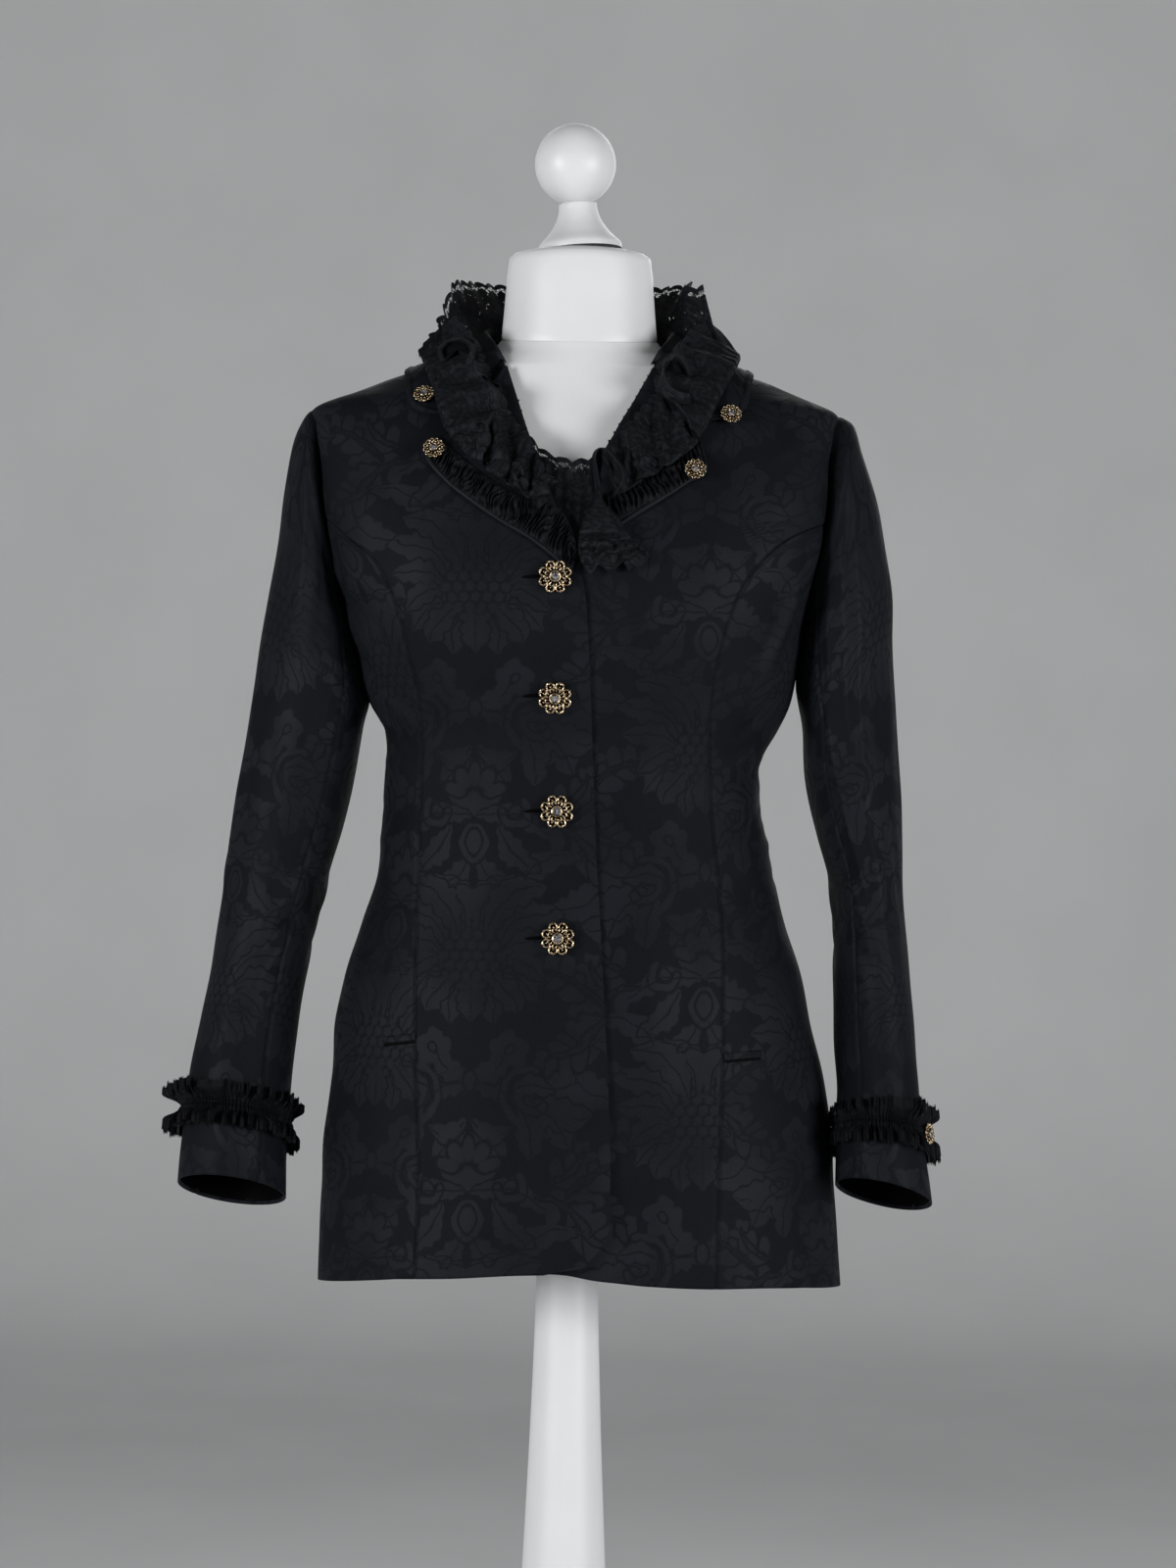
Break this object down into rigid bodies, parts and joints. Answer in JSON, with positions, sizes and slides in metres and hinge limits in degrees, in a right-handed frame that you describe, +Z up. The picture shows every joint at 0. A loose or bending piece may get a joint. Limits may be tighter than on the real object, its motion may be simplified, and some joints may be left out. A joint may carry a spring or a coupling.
{
  "type": "blazer on a dress form",
  "caption": "Fitted single-breasted lady's blazer in damask with lace frills at neck and cuffs, shown on a limbless dress form with a round-footed stand.",
  "frame": {"origin": "middle of the round foot's underside, on the floor", "axes": "+Z up; the blazer's front faces -Y; the wearer's left is +X"},
  "size_m": [0.6144, 0.34, 1.6181],
  "materials": {
    "damask": "dark blue-black damask with a soft sheen on its motifs",
    "lace": "black gathered lace",
    "gold_metal": "antique gold, openwork",
    "clear_stone": "clear cut stone",
    "white_shell": "smooth matt white"
  },
  "bodies": {
    "root": {"back_left": "damask", "back_right": "damask", "button_collar_left": "gold_metal", "button_collar_right": "gold_metal", "button_cuff_left": "gold_metal", "button_cuff_right": "gold_metal", "button_front_1": "gold_metal", "button_front_2": "gold_metal", "button_front_3": "gold_metal", "button_front_4": "gold_metal", "button_lapel_left": "gold_metal", "button_lapel_right": "gold_metal", "collar": "damask", "collar_stand": "damask", "cuff_frill_lower_left": "lace", "cuff_frill_lower_right": "lace", "cuff_frill_upper_left": "lace", "cuff_frill_upper_right": "lace", "form_finial": "white_shell", "form_neck_cap": "white_shell", "form_torso": "white_shell", "front_left": "damask", "front_right": "damask", "lace_frill_left": "lace", "lace_frill_right": "lace", "lace_inset": "lace", "lace_nape_frill": "lace", "lapel_left": "damask", "lapel_right": "damask", "pocket_welt_left": "damask", "pocket_welt_right": "damask", "ruched_band_left": "lace", "ruched_band_right": "lace", "side_back_left": "damask", "side_back_right": "damask", "side_front_left": "damask", "side_front_right": "damask", "stand_column": "white_shell", "stand_plate": "white_shell", "stone_collar_left": "clear_stone", "stone_collar_right": "clear_stone", "stone_cuff_left": "clear_stone", "stone_cuff_right": "clear_stone", "stone_front_1": "clear_stone", "stone_front_2": "clear_stone", "stone_front_3": "clear_stone", "stone_front_4": "clear_stone", "stone_lapel_left": "clear_stone", "stone_lapel_right": "clear_stone", "under_sleeve_left": "damask", "under_sleeve_right": "damask", "upper_sleeve_left": "damask", "upper_sleeve_right": "damask"}
  },
  "joints": []
}
